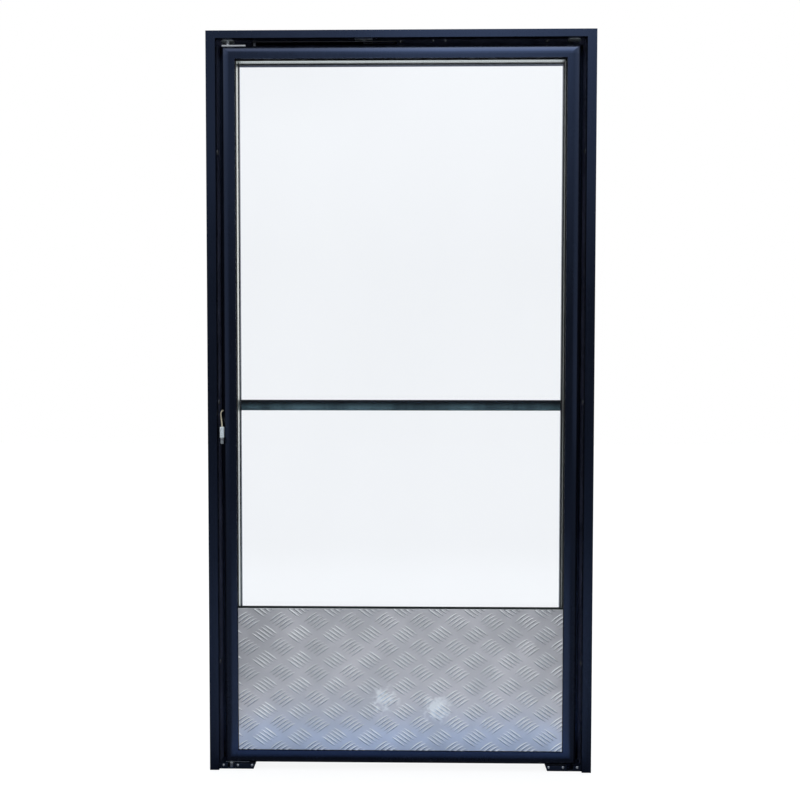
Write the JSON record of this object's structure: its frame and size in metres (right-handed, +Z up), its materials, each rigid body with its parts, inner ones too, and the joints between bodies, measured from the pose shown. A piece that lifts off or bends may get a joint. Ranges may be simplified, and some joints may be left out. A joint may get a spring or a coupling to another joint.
{
  "type": "glass door with kick plate",
  "caption": "Hinged insulating-glass door leaf in a slim frame open at the floor, with a raised-pattern metal kick plate along its foot and a push bar behind the glass.",
  "frame": {"origin": "middle of the door set's box at floor level", "axes": "+X along the door away from its hinges, +Y through the doorway away from the viewer, +Z up"},
  "size_m": [1.04, 0.0823, 1.997],
  "materials": {
    "frame_coating": "satin",
    "leaf_coating": "satin",
    "bar_coating": "satin",
    "block_coating": "satin",
    "inserts": "mill",
    "strike_steel": "satin",
    "bright_zinc": "bright",
    "hinge_steel": "satin",
    "spring_steel": "oiled",
    "stay_metal": "satin",
    "nylon": "matte",
    "pane_glass": "clear",
    "spacer_metal": "satin",
    "seal_rubber": "matte",
    "tape_foam": "matte",
    "tread_metal": "mill, raised pattern",
    "cap_plastic": "matte",
    "lead_sheath": "matte",
    "plug_plastic": "gloss",
    "socket_plastic": "gloss"
  },
  "bodies": {
    "frame": {"hinge_jamb": "frame_coating", "latch_jamb": "frame_coating", "frame_head": "frame_coating", "frame_corner_keys": "inserts", "strike_strips": "strike_steel", "fixing_sleeves": "bright_zinc", "head_bush": "hinge_steel", "spare_bush_cap": "hinge_steel", "hinge_block": "block_coating", "spare_block": "block_coating", "block_screws": "bright_zinc", "lower_pivot_pin": "hinge_steel", "thrust_washer": "nylon", "stay_bracket": "hinge_steel", "head_screws": "bright_zinc"},
    "leaf": {"hinge_stile": "leaf_coating", "latch_stile": "leaf_coating", "top_rail": "leaf_coating", "bottom_rail": "leaf_coating", "leaf_corner_keys": "inserts", "outer_pane": "pane_glass", "inner_pane": "pane_glass", "spacer_frame": "spacer_metal", "edge_sealant": "seal_rubber", "front_gasket": "seal_rubber", "rear_gasket": "seal_rubber", "glazing_beads": "leaf_coating", "setting_blocks": "seal_rubber", "magnetic_seal": "seal_rubber", "top_hinge_plate": "hinge_steel", "top_pivot_pin": "hinge_steel", "bottom_hinge_plate": "hinge_steel", "hinge_plate_screws": "bright_zinc", "torque_rod": "spring_steel", "rod_anchor": "inserts", "kick_plate": "tread_metal", "kick_plate_tape": "tape_foam", "rear_kick_plate": "tread_metal", "rear_kick_plate_tape": "tape_foam", "push_bar": "bar_coating", "push_bar_caps": "cap_plastic", "push_bar_brackets": "bar_coating", "push_bar_screws": "bright_zinc", "stay_stud": "hinge_steel", "lead_grommet": "seal_rubber", "heater_lead": "lead_sheath", "lead_plug": "plug_plastic", "lead_socket": "socket_plastic"},
    "stay": {"stay_arm": "stay_metal"}
  },
  "joints": [
    {"name": "leaf_swing", "type": "hinge", "parent": "frame", "child": "leaf", "pos_m": [-0.4645, -0.023, 0], "axis": [0, 0, -1], "range_deg": [0, 90], "stiffness_Nm_per_rad": 4, "springref_deg": -20.05},
    {"name": "stay_turn", "type": "hinge", "parent": "leaf", "child": "stay", "pos_m": [-0.3925, -0.023, 1.972], "axis": [0, 0, 1], "range_deg": [0, 101.2]}
  ],
  "couplings": [
    {"joint": "stay_turn", "follows": "leaf_swing", "ratio": 1.1237}
  ]
}
